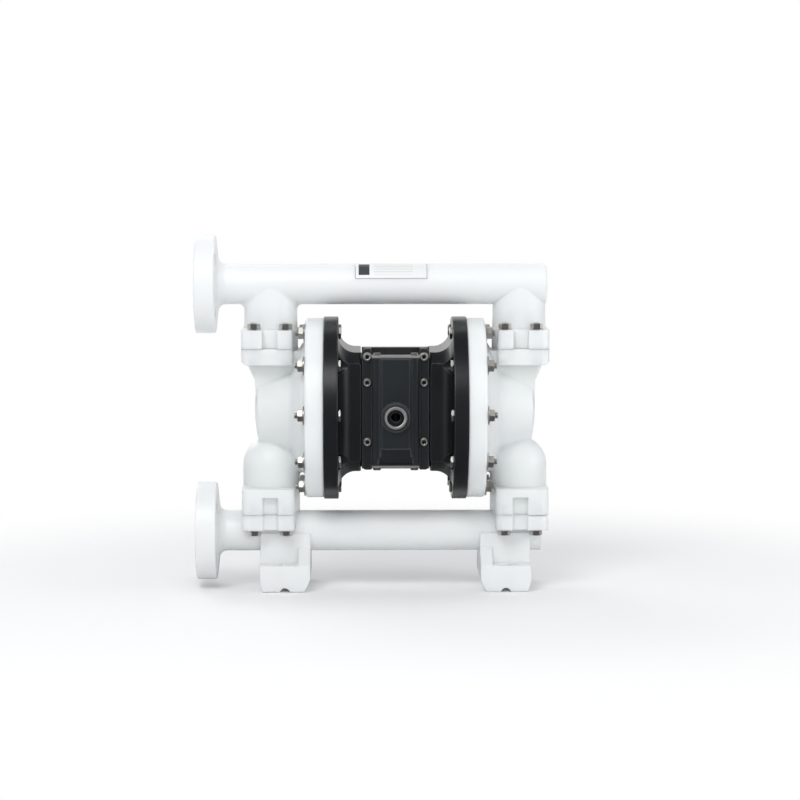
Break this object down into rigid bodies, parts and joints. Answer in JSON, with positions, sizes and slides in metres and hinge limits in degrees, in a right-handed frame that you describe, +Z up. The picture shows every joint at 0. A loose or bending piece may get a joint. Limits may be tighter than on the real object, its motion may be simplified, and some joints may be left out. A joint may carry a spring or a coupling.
{
  "type": "air operated diaphragm pump",
  "caption": "Air operated diaphragm pump: plastic fluid caps with ball valves clamp diaphragms to a central air motor, with flanged manifold pipes above and below.",
  "frame": {"origin": "on the floor, in the middle of the foot bolt pattern", "axes": "+X along the pump axis, away from the flanged pipe ends; +Y to the back, away from the valve block; +Z up"},
  "size_m": [0.5375, 0.282, 0.541],
  "materials": {
    "white_polypropylene": "satin, slightly translucent",
    "black_nylon": "satin moulded",
    "valve_block_plastic": "satin moulded",
    "ptfe": "smooth",
    "diaphragm_rubber": "matte",
    "seal_rubber": "matte",
    "bronze": "turned",
    "aluminium": "machined",
    "muffler_plastic": "sintered",
    "polished_steel": "polished",
    "stainless_fasteners": "stainless"
  },
  "bodies": {
    "pump": {"air_cap_gasket_left": "seal_rubber", "air_cap_gasket_right": "seal_rubber", "air_cap_left": "black_nylon", "air_cap_right": "black_nylon", "air_cap_screws_left": "stainless_fasteners", "air_cap_screws_right": "stainless_fasteners", "air_inlet_bush": "polished_steel", "ball_seat_discharge_left": "ptfe", "ball_seat_discharge_right": "ptfe", "ball_seat_suction_left": "ptfe", "ball_seat_suction_right": "ptfe", "cap_bolts_left": "stainless_fasteners", "cap_bolts_right": "stainless_fasteners", "cap_nuts_left": "stainless_fasteners", "cap_nuts_right": "stainless_fasteners", "cap_washers_left": "stainless_fasteners", "cap_washers_right": "stainless_fasteners", "center_body": "black_nylon", "discharge_bolts": "stainless_fasteners", "discharge_manifold": "white_polypropylene", "discharge_nuts": "stainless_fasteners", "discharge_washers": "stainless_fasteners", "fluid_cap_left": "white_polypropylene", "fluid_cap_right": "white_polypropylene", "muffler": "muffler_plastic", "pilot_sleeve": "bronze", "plate_bolts": "stainless_fasteners", "rod_bush_left": "bronze", "rod_bush_right": "bronze", "rod_seals": "seal_rubber", "seat_o_rings": "seal_rubber", "suction_bolts": "stainless_fasteners", "suction_inserts": "stainless_fasteners", "suction_manifold": "white_polypropylene", "suction_washers": "stainless_fasteners", "valve_block": "valve_block_plastic", "valve_bottom_plate": "polished_steel", "valve_gasket": "seal_rubber", "valve_plate_gaskets": "seal_rubber", "valve_screws": "stainless_fasteners", "valve_sleeve": "aluminium", "valve_top_plate": "polished_steel"},
    "diaphragm_set": {"diaphragm_left": "diaphragm_rubber", "diaphragm_right": "diaphragm_rubber", "diaphragm_rod": "polished_steel", "inner_plate_left": "aluminium", "inner_plate_right": "aluminium", "outer_plate_left": "white_polypropylene", "outer_plate_right": "white_polypropylene", "rod_screws": "stainless_fasteners"},
    "pilot": {"pilot_rod": "polished_steel"},
    "spool": {"valve_spool": "aluminium"},
    "ball_discharge_left": {"check_ball_discharge_left": "ptfe"},
    "ball_discharge_right": {"check_ball_discharge_right": "ptfe"},
    "ball_suction_left": {"check_ball_suction_left": "ptfe"},
    "ball_suction_right": {"check_ball_suction_right": "ptfe"}
  },
  "joints": [
    {"name": "rod_slide", "type": "slide", "parent": "pump", "child": "diaphragm_set", "axis": [1, 0, 0], "range_m": [-0.018, 0.018], "deforming": ["diaphragm_left", "diaphragm_right"]},
    {"name": "pilot_slide", "type": "slide", "parent": "pump", "child": "pilot", "axis": [1, 0, 0], "range_m": [-0.005, 0.005]},
    {"name": "spool_slide", "type": "slide", "parent": "pump", "child": "spool", "axis": [0, 0, 1], "range_m": [0, 0.016]},
    {"name": "ball_discharge_left_lift", "type": "slide", "parent": "pump", "child": "ball_discharge_left", "axis": [0, 0, 1], "range_m": [0, 0.013]},
    {"name": "ball_discharge_right_lift", "type": "slide", "parent": "pump", "child": "ball_discharge_right", "axis": [0, 0, 1], "range_m": [0, 0.013]},
    {"name": "ball_suction_left_lift", "type": "slide", "parent": "pump", "child": "ball_suction_left", "axis": [0, 0, 1], "range_m": [0, 0.013]},
    {"name": "ball_suction_right_lift", "type": "slide", "parent": "pump", "child": "ball_suction_right", "axis": [0, 0, 1], "range_m": [0, 0.013]}
  ]
}
